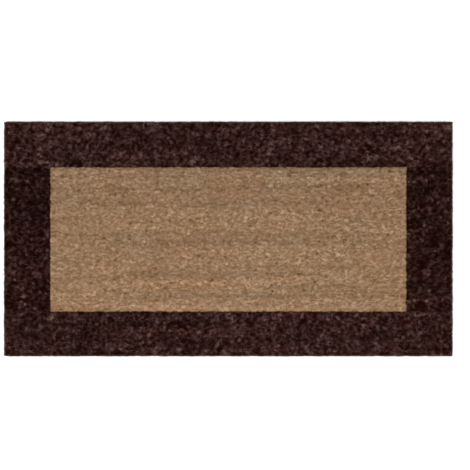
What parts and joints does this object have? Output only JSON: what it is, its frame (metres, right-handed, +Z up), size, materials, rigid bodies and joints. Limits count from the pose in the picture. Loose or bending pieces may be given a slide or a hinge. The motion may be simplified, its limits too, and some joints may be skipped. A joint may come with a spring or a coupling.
{
  "type": "door mat",
  "caption": "Rectangular coir door mat: a natural coir centre framed by a plain dark brown coir border, on a flat anti-slip vinyl backing sheet.",
  "frame": {"origin": "middle of the mat's underside, on the floor", "axes": "+Z up out of the pile, +X along the mat's long side, +Y towards its rear edge"},
  "size_m": [0.75, 0.392, 0.017],
  "materials": {
    "vinyl_backing": "matte",
    "natural_coir": null,
    "dyed_coir": null
  },
  "bodies": {
    "root": {"backing_sheet": "vinyl_backing", "centre_pile": "natural_coir", "rear_border_pile": "dyed_coir", "front_border_pile": "dyed_coir", "left_border_pile": "dyed_coir", "right_border_pile": "dyed_coir"}
  },
  "joints": []
}
